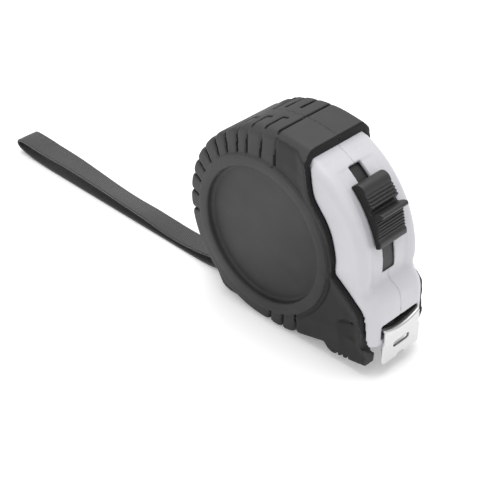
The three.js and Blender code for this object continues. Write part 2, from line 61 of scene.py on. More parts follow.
# ---- Dimensions, in millimetres
AXIS_Z = 36.0  # the reel's axis above the floor
REAR_R = 35.9
TOP_R, TOP_X = 40.3, 4.4  # the round of the top and the front, and its centre
RING_R, RING_SIDE = 29.9, 16.2
RECESS_R, RECESS_SIDE = 25.65, 13.2
FLANK_SIDE = 15.3
SHOULDER = 12.3
NOSE_SIDE = 14.3
RUBBER_DEPTH = 2.3
WALL = 1.6
INNER_SIDE = 11.9  # the flat sides of the reel space
SEAM = 0.06  # from the middle plane to each shell
GAP = 0.3  # between a grip and its shell
SLOT_HALF = 2.9
SLOT_TOP, SLOT_BOTTOM = 57.0, 0.6  # degrees about the centre of the top's round
TRACK_R, TRACK_HALF = (35.5, 38.25), 3.5  # room for the lock arm under the slot
TRACK_TURN = (25.5, 42.5)  # its middle and its half length, in degrees
BLADE_Z, BLADE_HALF, BLADE_RISE = 17.8, 9.1, 2.1  # at the mouth; the edges stand higher than the middle
MOUTH_Z, MOUTH_TALL, MOUTH_HALF = 17.95, 2.95, 9.25  # its middle and two half sizes
HOOK_BACK, HOOK_FRONT = 49.9, 50.9
PIN, PIN_R = (-21.0, 6.0), 1.5  # the strap's pin, as x and z, and its bore
POST_R = 3.3
SCREW_RING, SCREW_R, BOSS_R, HEAD_R = 29.3, 1.5, 3.2, 2.9
SCREWS = [
    (SCREW_RING * math.cos(turn), AXIS_Z + SCREW_RING * math.sin(turn))
    for turn in map(math.radians, (135, 222, -22, 62))
]
CLIP_SCREW_Z, CLIP_SCREW_R = 52, 1.6
CELL = 0.445  # the mesh spacing of the shells and grips


def placed(points):
    """Points in millimetres from the reel's axis, in the frame's metres."""
    return np.asarray(points, float) / 1000 + np.array(PLACE)


# ---- Camera
def make_camera():
    """The camera fitted to the photo, set out in millimetres from the reel's axis at floor height."""
    azimuth, elevation = math.radians(44.70), math.radians(35.65)
    aside, above, away = -16.875, 20.30, 470.55
    level = math.cos(elevation)
    back = Vector((math.sin(azimuth) * level, -math.cos(azimuth) * level, math.sin(elevation)))
    right = Vector((math.cos(azimuth), math.sin(azimuth), 0))
    up = back.cross(right)
    data = bpy.data.cameras.new("camera")
    data.sensor_width = 36
    data.lens = 96.3
    data.clip_start, data.clip_end = 0.01, 20
    camera = bpy.data.objects.new("camera", data)
    bpy.context.scene.collection.objects.link(camera)
    turn = Matrix((right, up, back)).transposed().to_4x4()
    where = PLACE + (right * aside + up * above + back * away) / 1000
    camera.matrix_world = Matrix.Translation(where) @ turn
    bpy.context.scene.camera = camera


make_camera()


# ---- Materials
def shader(name, roughness, metallic=0.0, **sockets):
    """A new material, with its node tree and its surface shader."""
    look = bpy.data.materials.new(name)
    look.use_nodes = True
    surface = look.node_tree.nodes["Principled BSDF"]
    surface.inputs["Roughness"].default_value = roughness
    surface.inputs["Metallic"].default_value = metallic
    for socket, value in sockets.items():
        surface.inputs[socket.replace("_", " ")].default_value = value
    return look, look.node_tree, surface


def link(tree, start, end):
    tree.links.new(start, end)


def noise_texture(tree, vector, **values):
    node = tree.nodes.new("ShaderNodeTexNoise")
    for key, value in values.items():
        node.inputs[key].default_value = value
    link(tree, vector, node.inputs["Vector"])
    return node.outputs["Fac"]


def separate(tree, vector):
    """The x, y and z of a vector."""
    node = tree.nodes.new("ShaderNodeSeparateXYZ")
    link(tree, vector, node.inputs["Vector"])
    return node.outputs["X"], node.outputs["Y"], node.outputs["Z"]


def colour_ramp(tree, factor, stops):
    """Colours, or greys given as one number, at positions along a factor."""
    node = tree.nodes.new("ShaderNodeValToRGB")
    elements = node.color_ramp.elements
    while len(elements) < len(stops):
        elements.new(0.5)
    for element, (position, colour) in zip(elements, stops):
        element.position = position
        element.color = (*colour, 1) if isinstance(colour, tuple) else (colour, colour, colour, 1)
    link(tree, factor, node.inputs["Fac"])
    return node.outputs["Color"]


def tint(tree, surface, factor, stops):
    link(tree, colour_ramp(tree, factor, stops), surface.inputs["Base Color"])


def mixed(tree, blend, factor, first, second):
    """Two colours mixed; each value is a socket or is fixed."""
    node = tree.nodes.new("ShaderNodeMix")
    node.data_type = "RGBA"
    node.blend_type = blend
    colours = [socket for socket in node.inputs if socket.type == "RGBA"]
    for socket, value in zip([node.inputs["Factor"], *colours], (factor, first, second)):
        if isinstance(value, (float, tuple)):
            socket.default_value = value
        else:
            link(tree, value, socket)
    return next(socket for socket in node.outputs if socket.type == "RGBA")


def maths(tree, operation, a, b=None, c=None):
    node = tree.nodes.new("ShaderNodeMath")
    node.operation = operation
    for socket, value in zip(node.inputs, (a, b, c)):
        if value is None:
            continue
        if isinstance(value, (int, float)):
            socket.default_value = value
        else:
            link(tree, value, socket)
    return node.outputs[0]


def bump(tree, surface, height, distance, strength=1.0, before=None):
    node = tree.nodes.new("ShaderNodeBump")
    node.inputs["Strength"].default_value = strength
    node.inputs["Distance"].default_value = distance
    link(tree, height, node.inputs["Height"])
    if before is not None:
        link(tree, before, node.inputs["Normal"])
    link(tree, node.outputs["Normal"], surface.inputs["Normal"])
    return node.outputs["Normal"]


def object_coordinates(tree):
    return tree.nodes.new("ShaderNodeTexCoord").outputs["Object"]


def moulded(name, dark, light, roughness, grain, depth, spread=0.06, **sockets):
    """Moulded plastic or rubber: slow changes of tone, a fine grain and a patchy gloss."""
    look, tree, surface = shader(name, roughness, **sockets)
    where = object_coordinates(tree)
    slow = noise_texture(tree, where, Scale=70.0, Detail=4.0, Roughness=0.6)
    tint(tree, surface, slow, [(0.3, dark), (0.7, light)])
    patches = noise_texture(tree, where, Scale=160.0, Detail=3.0)
    gloss = maths(tree, "MULTIPLY_ADD", patches, spread * 2, roughness - spread)
    link(tree, gloss, surface.inputs["Roughness"])
    bump(tree, surface, noise_texture(tree, where, Scale=grain, Detail=2.0, Roughness=0.5), depth)
    return look


def paint_shade_to_front(look):
    """Painted shade: darken a moulded material towards the lower front, where the grips stand in shade."""
    tree = look.node_tree
    colour = tree.nodes["Principled BSDF"].inputs["Base Color"]
    x, _, z = separate(tree, object_coordinates(tree))
    ahead = maths(tree, "MULTIPLY", maths(tree, "SUBTRACT", x, PLACE.x), 0.8)
    slope = maths(tree, "MULTIPLY_ADD", z, -0.6, maths(tree, "ADD", ahead, 0.6 * AXIS_Z / 1000))
    fade = colour_ramp(tree, maths(tree, "MULTIPLY_ADD", slope, 25.0, 0.5), [(0.4, 1.0), (1.0, 0.42)])
    link(tree, mixed(tree, "MULTIPLY", 1.0, colour.links[0].from_socket, fade), colour)


def brushed(name, dark, light, roughness, stretch, metallic=1.0):
    """Metal with fine lines along one direction."""
    look, tree, surface = shader(name, roughness, metallic)
    mapping = tree.nodes.new("ShaderNodeMapping")
    mapping.inputs["Scale"].default_value = stretch
    link(tree, object_coordinates(tree), mapping.inputs["Vector"])
    lines = noise_texture(tree, mapping.outputs["Vector"], Scale=1.0, Detail=4.0, Roughness=0.65)
    tint(tree, surface, lines, [(0.3, dark), (0.7, light)])
    gloss = maths(tree, "MULTIPLY_ADD", lines, 0.2, roughness - 0.1)
    link(tree, gloss, surface.inputs["Roughness"])
    bump(tree, surface, lines, 0.00001, 0.5)
    return look


def wound(name, dark, light, roughness, metallic, pitch):
    """Layers of thin strip around the reel's axis, seen edge-on as fine rings."""
    look, tree, surface = shader(name, roughness, metallic)
    mapping = tree.nodes.new("ShaderNodeMapping")
    mapping.inputs["Location"].default_value = (-PLACE.x, -PLACE.y, -AXIS_Z / 1000)
    link(tree, object_coordinates(tree), mapping.inputs["Vector"])
    x, _, z = separate(tree, mapping.outputs["Vector"])
    radius = maths(tree, "SQRT", maths(tree, "MULTIPLY_ADD", z, z, maths(tree, "MULTIPLY", x, x)))
    turns = maths(tree, "FRACT", maths(tree, "DIVIDE", radius, pitch))
    tint(tree, surface, turns, [(0.0, dark), (0.2, light), (0.85, light), (1.0, dark)])
    bump(tree, surface, turns, pitch / 4, 0.6)
    return look


def lacquered_blade():
    """Yellow lacquer with black marks along both edges, and painted shade: the first stretch by the hook is
    black, as it lies in shadow in the mouth.
    """
    look, tree, surface = shader("blade_lacquer", 0.32, Coat_Weight=0.35)
    where = object_coordinates(tree)
    x, y, _ = separate(tree, where)
    along = maths(tree, "SUBTRACT", x, PLACE.x + HOOK_FRONT / 1000)
    half_width = 0.0095
    aside = maths(tree, "ABSOLUTE", maths(tree, "SUBTRACT", y, PLACE.y))
    edge = maths(tree, "SUBTRACT", half_width, aside)
    # Painted shade: black over the last 12 mm before the hook's front and past it; the marks added below are
    # print.
    print_and_shade = maths(tree, "GREATER_THAN", along, -0.012)
    # The spacing of each kind of mark, its width and how far it reaches in from the edge, in metres.
    marks = ((0.001, 0.00022, 0.0026), (0.005, 0.00026, 0.0040), (0.01, 0.0003, 0.0062), (0.1, 0.0011, 0.02))
    for spacing, width, reach in marks:
        turn = maths(tree, "FRACT", maths(tree, "DIVIDE", along, spacing))
        place = maths(tree, "ABSOLUTE", maths(tree, "SUBTRACT", turn, 0.5))
        thin = maths(tree, "GREATER_THAN", place, 0.5 - width / spacing / 2)
        mark = maths(tree, "MULTIPLY", thin, maths(tree, "LESS_THAN", edge, reach))
        print_and_shade = maths(tree, "MAXIMUM", print_and_shade, mark)
    noise = noise_texture(tree, where, Scale=220.0, Detail=3.0)
    yellow = colour_ramp(tree, noise, [(0.3, (0.76, 0.52, 0.045)), (0.7, (0.83, 0.60, 0.06))])
    colour = mixed(tree, "MIX", print_and_shade, yellow, (0.012, 0.012, 0.012, 1))
    link(tree, colour, surface.inputs["Base Color"])
    bump(tree, surface, noise, 0.00002, 0.4)
    return look


def woven():
    """Close flat weave: fine weft ribs across the strap and warp lines along it, in UV millimetres."""
    look, tree, surface = shader("webbing", 0.78, Sheen_Weight=0.35, Sheen_Roughness=0.5)
    uv = tree.nodes.new("ShaderNodeTexCoord").outputs["UV"]
    across, along, _ = separate(tree, uv)
    warp_pitch, weft_pitch = 0.7, 0.8
    column = maths(tree, "FLOOR", maths(tree, "MULTIPLY", across, 1 / warp_pitch))
    shift = maths(tree, "MULTIPLY", column, 0.5)
    row = maths(tree, "ADD", maths(tree, "MULTIPLY", along, 1 / weft_pitch), shift)
    weft = maths(tree, "SINE", maths(tree, "MULTIPLY", row, 2 * math.pi))
    warp = maths(tree, "SINE", maths(tree, "MULTIPLY", across, 2 * math.pi / warp_pitch))
    weave = maths(tree, "MULTIPLY_ADD", warp, 0.5, weft)
    noise = noise_texture(tree, uv, Scale=1.3, Detail=4.0, Roughness=0.6)
    tint(tree, surface, maths(tree, "MULTIPLY_ADD", weave, 0.07, noise), [(0.3, 0.019), (0.7, 0.032)])
    first = bump(tree, surface, weave, 0.00005, 0.8)
    bump(tree, surface, noise_texture(tree, uv, Scale=9.0, Detail=2.0), 0.00004, 0.5, first)
    return look


RUBBER = moulded("grip_rubber", 0.034, 0.041, 0.62, 5200.0, 0.00003, Specular_IOR_Level=0.45)
# Painted shade on the grips, darker towards the lower front.
paint_shade_to_front(RUBBER)
LOCK = moulded("lock_plastic", 0.018, 0.024, 0.45, 4200.0, 0.00002)
# Painted shade: darker copies of the grip rubber, one for the flank sides and one for the rim wall, grooves
# and notch.
RUBBER_FLANK_SHADE = moulded("grip_rubber_flank_shade", 0.024, 0.029, 0.58, 3000.0, 0.00001, Specular_IOR_Level=0.28)
paint_shade_to_front(RUBBER_FLANK_SHADE)
RUBBER_SHADE = moulded("grip_rubber_painted_shade", 0.007, 0.010, 0.7, 5200.0, 0.00003, Specular_IOR_Level=0.3)
# Painted shade: a darker copy of the button's plastic for its side walls.
LOCK_SIDE_SHADE = moulded("lock_plastic_side_shade", 0.006, 0.009, 0.55, 4200.0, 0.00002, Specular_IOR_Level=0.3)
WHITE = moulded("casing_plastic", (0.565, 0.563, 0.595), (0.597, 0.595, 0.627), 0.38, 3600.0, 0.000008, 0.04)
REEL = moulded("reel_plastic", (0.022, 0.026, 0.032), (0.030, 0.034, 0.042), 0.45, 3000.0, 0.00001)
PAD = moulded("pad_rubber", 0.010, 0.016, 0.7, 4000.0, 0.00002)
NICKEL = brushed("nickel", 0.61, 0.68, 0.33, (300, 60, 2600), 0.85)
ZINC = brushed("zinc_plate", (0.55, 0.56, 0.58), (0.66, 0.67, 0.68), 0.34, (900, 900, 900))
SPRING = wound("spring_steel", 0.16, 0.34, 0.35, 1.0, 0.0005)
COIL = wound("blade_layers", (0.30, 0.20, 0.02), (0.74, 0.52, 0.06), 0.4, 0.0, 0.00028)
BLADE = lacquered_blade()
WEBBING = woven()


# ---- Fields: below zero inside, in millimetres
def low_of(a, b, k):
    """The lower of two fields, with a round inner corner of about k."""
    h = np.clip(0.5 + 0.5 * (b - a) / k, 0, 1)
    return b + (a - b) * h - k * h * (1 - h)


def high_of(a, b, k):
    return -low_of(-a, -b, k)


def corner(a, b, radius):
    """The higher of two fields, with their edge rounded to a radius."""
    outside = np.hypot(np.maximum(a + radius, 0), np.maximum(b + radius, 0))
    return np.minimum(np.maximum(a, b), -radius) + outside


def ramp(low, high, value):
    """A smooth rise from 0 at low to 1 at high."""
    t = np.clip((value - low) / (high - low), 0, 1)
    return t * t * (3 - 2 * t)


def arc(x, z, radius, start, end, count):
    angles = np.radians(np.linspace(start, end, count))
    return [(x + radius * math.cos(a), z + radius * math.sin(a)) for a in angles]


def smooth(points, count=5):
    """Points of a smooth line through the given ones."""
    p = np.array([points[0], *points, points[-1]], float)
    line = []
    for i in range(1, len(p) - 2):
        for t in np.arange(count) / count:
            line.append(tuple(0.5 * (
                2 * p[i] + (p[i + 1] - p[i - 1]) * t
                + (2 * p[i - 1] - 5 * p[i] + 4 * p[i + 1] - p[i + 2]) * t * t
                + (3 * p[i] - p[i - 1] - 3 * p[i + 1] + p[i + 2]) * t ** 3
            )))
    return line + [tuple(points[-1])]


def outline(points):
    """The distance field of a closed outline of (x, z) points."""
    ends = list(zip(points, points[1:] + points[:1]))

    def field(x, z):
        x, z = np.broadcast_arrays(x, z)
        best = np.full(x.shape, 1e9)
        inside = np.zeros(x.shape, bool)
        for (ax, az), (bx, bz) in ends:
            dx, dz = bx - ax, bz - az
            size = dx * dx + dz * dz
            if size < 1e-12:
                continue
            t = np.clip(((x - ax) * dx + (z - az) * dz) / size, 0, 1)
            best = np.minimum(best, (x - ax - t * dx) ** 2 + (z - az - t * dz) ** 2)
            if az != bz:
                inside ^= ((az > z) != (bz > z)) & (x < ax + (z - az) * dx / dz)
        return np.where(inside, -1.0, 1.0) * np.sqrt(best)

    return field


def box_field(x, y, z, low, high):
    return np.maximum(
        np.maximum(np.maximum(low[0] - x, x - high[0]), np.maximum(low[1] - y, y - high[1])),
        np.maximum(low[2] - z, z - high[2]),
    )


CORNERS = np.array([(i, j, k) for i in (0, 1) for j in (0, 1) for k in (0, 1)])
EDGES = [(a, b) for a in range(8) for b in range(a + 1, 8) if abs(CORNERS[a] - CORNERS[b]).sum() == 1]


def skin(name, field, low, high, cell, look):
    """A smooth closed mesh on the zero surface of a field."""
    axes = [np.arange(a, b + cell, cell) for a, b in zip(low, high)]
    x, y, z = np.meshgrid(*axes, indexing="ij", sparse=True)
    values = np.broadcast_to(field(x, y, z), [len(a) for a in axes]).astype(np.float32)
    inside = values < 0
    count = np.zeros([n - 1 for n in values.shape], np.int8)
    for i, j, k in CORNERS:
        count += inside[i:i + count.shape[0], j:j + count.shape[1], k:k + count.shape[2]]
    active = (count > 0) & (count < 8)
    cells = np.argwhere(active)
    number = np.full(active.shape, -1, np.int64)
    number[active] = np.arange(len(cells))
    at = np.stack([values[tuple((cells + c).T)] for c in CORNERS], 1).astype(float)
    total, hits = np.zeros((len(cells), 3)), np.zeros(len(cells))
    for a, b in EDGES:
        crossed = (at[:, a] < 0) != (at[:, b] < 0)
        t = (at[:, a] / np.where(crossed, at[:, a] - at[:, b], 1))[:, None]
        total += np.where(crossed[:, None], CORNERS[a] + t * (CORNERS[b] - CORNERS[a]), 0)
        hits += crossed
    points = np.array(low) + (cells + total / hits[:, None]) * cell
    quads, one = [], np.eye(3, dtype=int)
    for d in range(3):
        u, v = one[(d + 1) % 3], one[(d + 2) % 3]
        within = [slice(1, n - 1) for n in inside.shape]
        within[d] = slice(0, inside.shape[d] - 1)
        first = inside[tuple(within)]
        within[d] = slice(1, inside.shape[d])
        second = inside[tuple(within)]
        base = np.argwhere(first != second) + u + v
        outward = first[first != second]
        ring = np.stack([number[tuple((base - step).T)] for step in (u + v, v, 0 * u, u)], 1)
        quads.append(np.where(outward[:, None], ring, ring[:, ::-1]))
    return piece(name, points, np.concatenate(quads), look)


def piece(name, points, faces, look):
    """A smooth-shaded mesh object from points in millimetres and faces of one size."""
    points = placed(points)
    faces = np.asarray(faces, np.int32)
    mesh = bpy.data.meshes.new(name)
    mesh.vertices.add(len(points))
    mesh.vertices.foreach_set("co", points.astype(np.float32).ravel())
    mesh.loops.add(faces.size)
    mesh.loops.foreach_set("vertex_index", faces.ravel())
    mesh.polygons.add(len(faces))
    starts = np.arange(len(faces), dtype=np.int32) * faces.shape[1]
    mesh.polygons.foreach_set("loop_start", starts)
    mesh.polygons.foreach_set("use_smooth", np.full(len(faces), True))
    mesh.update(calc_edges=True)
    mesh.validate()
    mesh.materials.append(look)
    made = bpy.data.objects.new(name, mesh)
    bpy.context.scene.collection.objects.link(made)
    return made


# ---- Strap: a flat woven band that leaves the casing, folds at its far end and comes back
STRAP_Y = -2.0
STRAP_HALF, STRAP_THICK = 4.95, 0.56  # half its width and half its thickness
STRAP_ROUTE = [
    (-21.6, 8.1), (-25, 7.6), (-29, 6.3), (-36, 4.7), (-43, 3.6), (-50, 3.0), (-57, 2.95), (-65, 3.5),
    (-74, 4.3), (-84, 4.9), (-102, 5.9), (-118, 6.4), (-134, 6.1), (-144, 6.4), (-149.6, 6.2), (-151.2, 4.6),
    (-149.6, 3.0), (-144, 1.6), (-134, 0.75), (-118, 0.62), (-100, 0.62), (-80, 0.62), (-62, 0.62),
    (-46, 0.62), (-36, 0.9), (-30.5, 1.8), (-27.6, 2.9), (-25.4, 3.65), (-23.4, 3.8), (-21.8, 3.8),
]
# How far the far edge of the upper run hangs below its near edge, by x.
STRAP_DIP = [
    (-138, 0), (-126, 0.6), (-110, 1.8), (-96, 2.6), (-84, 2.5), (-70, 1.5), (-58, 0.9), (-46, 1.0),
    (-38, 1.9), (-32, 2.4), (-28, 2.0), (-24, 0.6), (-20, 0),
]


def even(points, step):
    """The same line with points about a step apart."""
    p = np.array(points, float)
    along = np.concatenate([[0], np.cumsum(np.linalg.norm(np.diff(p, axis=0), axis=1))])
    at = np.linspace(0, along[-1], int(along[-1] / step) + 1)
    return np.stack([np.interp(at, along, p[:, k]) for k in range(p.shape[1])], 1), at


def strap_section():
    """Across and up: round selvedges, and faces that dip a little just inside them."""
    steps = 7
    section = []
    for middle, first in ((STRAP_THICK - STRAP_HALF, 90), (STRAP_HALF - STRAP_THICK, -90)):
        section += arc(middle, 0, STRAP_THICK, first, first + 180, steps)
    line = []
    for i, (y, h) in enumerate(section):
        line.append((y, h))
        if i % steps == steps - 1:
            end = section[(i + 1) % len(section)]
            line += [(y + (end[0] - y) * t, h + (end[1] - h) * t) for t in np.linspace(0, 1, 12)[1:-1]]
    return [(y, h * (1 - 0.10 * math.exp(-((abs(y) - STRAP_HALF + 1.5) / 0.5) ** 2))) for y, h in line]


def make_strap():
    line, along = even(smooth(STRAP_ROUTE, 12), 0.5)
    for _ in range(3):
        line[1:-1] = (line[:-2] + 2 * line[1:-1] + line[2:]) / 4
    heading = np.gradient(line, axis=0)
    heading /= np.linalg.norm(heading, axis=1)[:, None]
    normal = np.stack([-heading[:, 1], heading[:, 0]], 1)
    section = strap_section()
    n, m = len(line), len(section)
    points = np.zeros((n, m, 3))
    dip = np.interp(line[:, 0], *zip(*smooth(STRAP_DIP))) * (along < along[-1] / 2)
    for j, (y, h) in enumerate(section):
        points[:, j, 0] = line[:, 0] + normal[:, 0] * h
        points[:, j, 1] = STRAP_Y + y
        points[:, j, 2] = line[:, 1] + normal[:, 1] * h - dip * (y + STRAP_HALF) / (2 * STRAP_HALF)
    index = np.arange(n * m).reshape(n, m)
    beside = np.roll(index, -1, 1)
    quads = np.stack([index[:-1], beside[:-1], beside[1:], index[1:]], -1).reshape(-1, 4)
    strap = piece("strap_webbing", points.reshape(-1, 3), quads, WEBBING)
    layer = strap.data.uv_layers.new(name="weave")
    vertex = np.zeros(len(strap.data.loops), np.int32)
    strap.data.loops.foreach_get("vertex_index", vertex)
    across = np.array([y + (0 if h > 0 else 20) for y, h in section])
    uv = np.stack([across[vertex % m], along[vertex // m]], 1)
    layer.data.foreach_set("uv", uv.astype(np.float32).ravel())
    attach(strap, "casing")
    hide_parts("strap")


make_strap()


# ---- Casing outlines, in x and z
# The tread of the grips.
TREAD = outline(
    arc(0, AXIS_Z, REAR_R, 180, 270, 46) + [(10, 0), (28.9, 5.1), (47, 7), (47, 36)]
    + arc(TOP_X, AXIS_Z, TOP_R, 0, 36, 20) + [(24.5, 75.8)]
    + smooth([(18.5, 77.0), (12.5, 77.8), (7, 78.1), (0, 77.6), (-6, 76.2), (-12, 73.6), (-18.1, 69.4)], 4)
    + arc(TOP_X, AXIS_Z, TOP_R, 124, 179, 30)
)
# Where the grips end and the white nose starts.
RIM_LINE = [
    (19.4, 75), (19.7, 72), (20.3, 69), (20.9, 65.3), (22, 61.5), (24, 58.6), (27.3, 54.8), (29.9, 50.4),
    (31.5, 45.3), (32.3, 41), (32.3, 36.6), (34.7, 34.5), (38.2, 31.9), (41.4, 29.3), (43.9, 27.2),
    (45.1, 25), (45.8, 20.4), (46.3, 15.6), (47.4, 13.1),
]
NOSE_AREA = outline([(19.3, 95)] + smooth(RIM_LINE) + [(60, 13.0), (90, 13.0), (90, 95)])
# The white casing at the nose.
NOSE = outline(
    arc(TOP_X, AXIS_Z, TOP_R - 0.1, 75, -2, 60)
    + smooth([
        (44.6, 33.7), (45.2, 32.3), (46.4, 31.4), (47.6, 30.4), (48.6, 28.8), (49.2, 26.6), (49.5, 23.6),
        (49.6, 20),
    ])
    + [(49.6, 16)] + smooth([(49.6, 12.2), (49.2, 10.2), (48.3, 8.9), (46.6, 8.3)])
    + [(31, 8.6), (29, 13), (-10, 13), (-10, 70)]
)
# A plane above the mouth that the thumb channel ends in: a point on it, and its direction.
BROW_AT, BROW_FACING = (44.7, 32.4), (0.48, 0.877)


def casing_outside(x, q, z):
    """The outside of the white casing: set back under the grips and full size at the nose. q is |y|."""
    tread = TREAD(x, z)
    reach = np.hypot(x, z - AXIS_Z)
    covered = corner(tread + RUBBER_DEPTH, q - 13.3 + 0.6 * np.maximum(0, tread + 5.4), 1.0)
    covered = np.maximum(covered, -np.maximum(reach - RECESS_R - 1.9, 11.5 - q))
    radius = 3.5 + 2.6 * ramp(41, 46, x) * ramp(10, 16, z) * (1 - ramp(32, 38, z))
    nose = corner(NOSE(x, z), q - NOSE_SIDE, radius)
    # The thumb channel between the two ridges, which ends in the brow above the mouth.
    dx, dz = x - TOP_X, z - AXIS_Z
    angle = np.degrees(np.arctan2(dz, dx))
    fall = np.clip((SLOT_TOP - angle) / 59, 0, 1.3)
    step = 0.25 * ramp(0, 0.01, fall) * (1 - ramp(8.3, 8.9, q))
    sink = 1.2 * fall ** 1.2 * (1 - ramp(7.0, 12.8, q))
    channel = np.hypot(dx, dz) - (TOP_R - 0.1 - (step + sink))
    brow = (x - BROW_AT[0]) * BROW_FACING[0] + (z - BROW_AT[1]) * BROW_FACING[1]
    cut = low_of(channel, brow, 1.6)
    cut = np.where((angle < SLOT_TOP + 6) & (dx > 0), cut, -5.0)
    nose = high_of(nose, cut, 0.3)
    area = NOSE_AREA(x, z)
    covered = np.maximum(covered, np.where(area < 0.6, nose, -50.0))
    return np.minimum(covered, np.maximum(nose, area + 0.1))


def slot_field(x, q, z):
    """The slot that the thumb button slides in."""
    angle = np.arctan2(z - AXIS_Z, x - TOP_X)
    reach = np.hypot(x - TOP_X, z - AXIS_Z)
    ends = np.maximum(angle - math.radians(SLOT_TOP), math.radians(SLOT_BOTTOM) - angle) * 39
    return np.maximum(corner(ends, q - SLOT_HALF, 0.5), 36.5 - reach)


def track_field(x, q, z):
    """Room for the lock arm to slide under the slot."""
    reach = np.hypot(x - TOP_X, z - AXIS_Z)
    turn = np.degrees(np.arctan2(z - AXIS_Z, x - TOP_X))
    across = np.maximum(reach - TRACK_R[1], TRACK_R[0] - reach)
    return np.maximum(across, np.maximum(q - TRACK_HALF, np.abs(turn - TRACK_TURN[0]) - TRACK_TURN[1]))


def mouth_field(x, q, z, start):
    """The opening for the blade and the hook's tongue, from a start outwards."""
    return np.maximum(corner(q - MOUTH_HALF, np.abs(z - MOUTH_Z) - MOUTH_TALL, 0.9), start - x)


def pocket_field(x, q, z):
    """Room for the strap's ends, with the bore for its pin."""
    block = box_field(x, q, z, (-60, -1, 2.9), (-19.1, 8.2, 9.1))
    pin = np.maximum(np.hypot(x - PIN[0], z - PIN[1]) - PIN_R, q - 10.9)
    return np.minimum(block, pin)


def shell_field(side):
    """One white half. The screws and the belt clip's screw go in from the right, where side is 1."""
    def field(x, y, z):
        q = y * side
        outside = casing_outside(x, np.abs(q), z)
        # The walls follow the outside; the reel space is flat-sided and bosses carry the screws.
        inside = np.maximum(outside + WALL, q - INNER_SIDE)
        reach = np.hypot(x, z - AXIS_Z)
        inside = np.maximum(inside, -np.maximum(reach - RECESS_R - 3.6, INNER_SIDE - 2 - q))
        body = np.maximum(outside, -inside)
        away = [np.hypot(x - sx, z - sz) for sx, sz in SCREWS]
        for distance in away:
            body = np.minimum(body, np.maximum(distance - BOSS_R, outside + 0.8))
        socket = np.maximum(np.maximum(reach - 5, 9.7 - q), q - 11)
        body = np.minimum(body, socket)
        body = np.maximum(body, -np.maximum(reach - POST_R, np.maximum(9 - q, q - 10.6)))
        for distance in away:
            if side > 0:
                body = np.maximum(body, SCREW_R - distance)
                body = np.maximum(body, -np.maximum(distance - HEAD_R, 10.9 - q))
            else:
                body = np.maximum(body, -np.maximum(distance - SCREW_R, q - 9.5))
        if side > 0:
            body = np.maximum(body, -np.maximum(np.hypot(x, z - CLIP_SCREW_Z) - CLIP_SCREW_R, 9 - q))
        body = np.maximum(body, -pocket_field(x, q, z))
        body = high_of(body, -slot_field(x, q, z), 0.35)
        body = np.maximum(body, -track_field(x, q, z))
        body = high_of(body, -mouth_field(x, q, z, 40), 0.35)
        # Room for the bumper behind the hook.
        body = np.maximum(body, -box_field(x, q, z, (48.2, -1, 12.7), (60, 7.3, 16.3)))
        return corner(body, SEAM - q, 0.12)

    return field


# ---- Grips
# Each groove starts by the ring at an angle about the reel and runs out in its own direction.
GROOVES = [
    (79.6, 90), (92, 90), (104, 92), (112.6, 98), (122.6, 109), (132.2, 121), (143.4, 136), (154.4, 150),
    (164.9, 162), (176.6, 175), (188.8, 189),
]
# Slots in the tread on top: the x of each, where it starts beside the middle plane, and its leg along x.
TOP_SLOTS = {
    -1: [(4.85, -1.0, 0.0), (-1.1, 4.0, 2.4), (-6.8, 5.5, 2.4), (-12.2, 6.4, 2.4)],
    1: [(4.85, -1.0, 0.0), (-1.0, 4.0, 0.0), (-6.3, 2.5, 0.0), (-10.4, 0.3, 0.0)],
}
BELLY_GROOVES = [((4.4, 6.3), (3.4, 1.0)), ((10.4, 7.6), (9.3, 1.0)), ((16.0, 10.4), (15.7, 3.0))]


def groove_lines():
    """A starting point and a unit direction for each groove on the flank."""
    lines = []
    for start, heading in GROOVES:
        x, z = arc(0, AXIS_Z, RING_R + 0.4, start, start, 1)[0]
        lines.append((x, z, math.cos(math.radians(heading)), math.sin(math.radians(heading))))
    for (x0, z0), (x1, z1) in BELLY_GROOVES:
        size = math.hypot(x1 - x0, z1 - z0)
        lines.append((x0, z0, (x1 - x0) / size, (z1 - z0) / size))
    return lines


LINES = groove_lines()


def beside_grooves(x, z):
    """How far a point is to the side of the nearest groove, and how far along that groove it lies."""
    x, z = np.broadcast_arrays(x, z)
    near, far = np.full(x.shape, 50.0), np.full(x.shape, -50.0)
    for gx, gz, ux, uz in LINES:
        along = (x - gx) * ux + (z - gz) * uz
        aside = np.abs((x - gx) * uz - (z - gz) * ux)
        aside = np.where(along > -6, aside, 50.0)
        far = np.where(aside < near, along, far)
        near = np.minimum(near, aside)
    return near, far


def line_depth(aside):
    """1 in a narrow groove and 0 beside it."""
    return 1 - ramp(0.32, 0.6, aside)


def tread_slots(x, q, z, side, cut, narrow):
    """Depth, from 0 to 1, of the narrow slots in the tread."""
    slots = narrow * ramp(6.7, 7.3, q)
    for start, depth_at, leg in TOP_SLOTS[side]:
        upright = line_depth(np.abs(x - start)) * ramp(depth_at - 0.3, depth_at + 0.3, q)
        turned = np.abs(q - depth_at - 0.3) + 1e3 * ((x < start - 0.4) | (x > start + leg))
        both = cut * np.maximum(upright, line_depth(turned))
        slots = np.where((z > 60) & (np.abs(x - start) < 2.6), both, slots)
    return slots


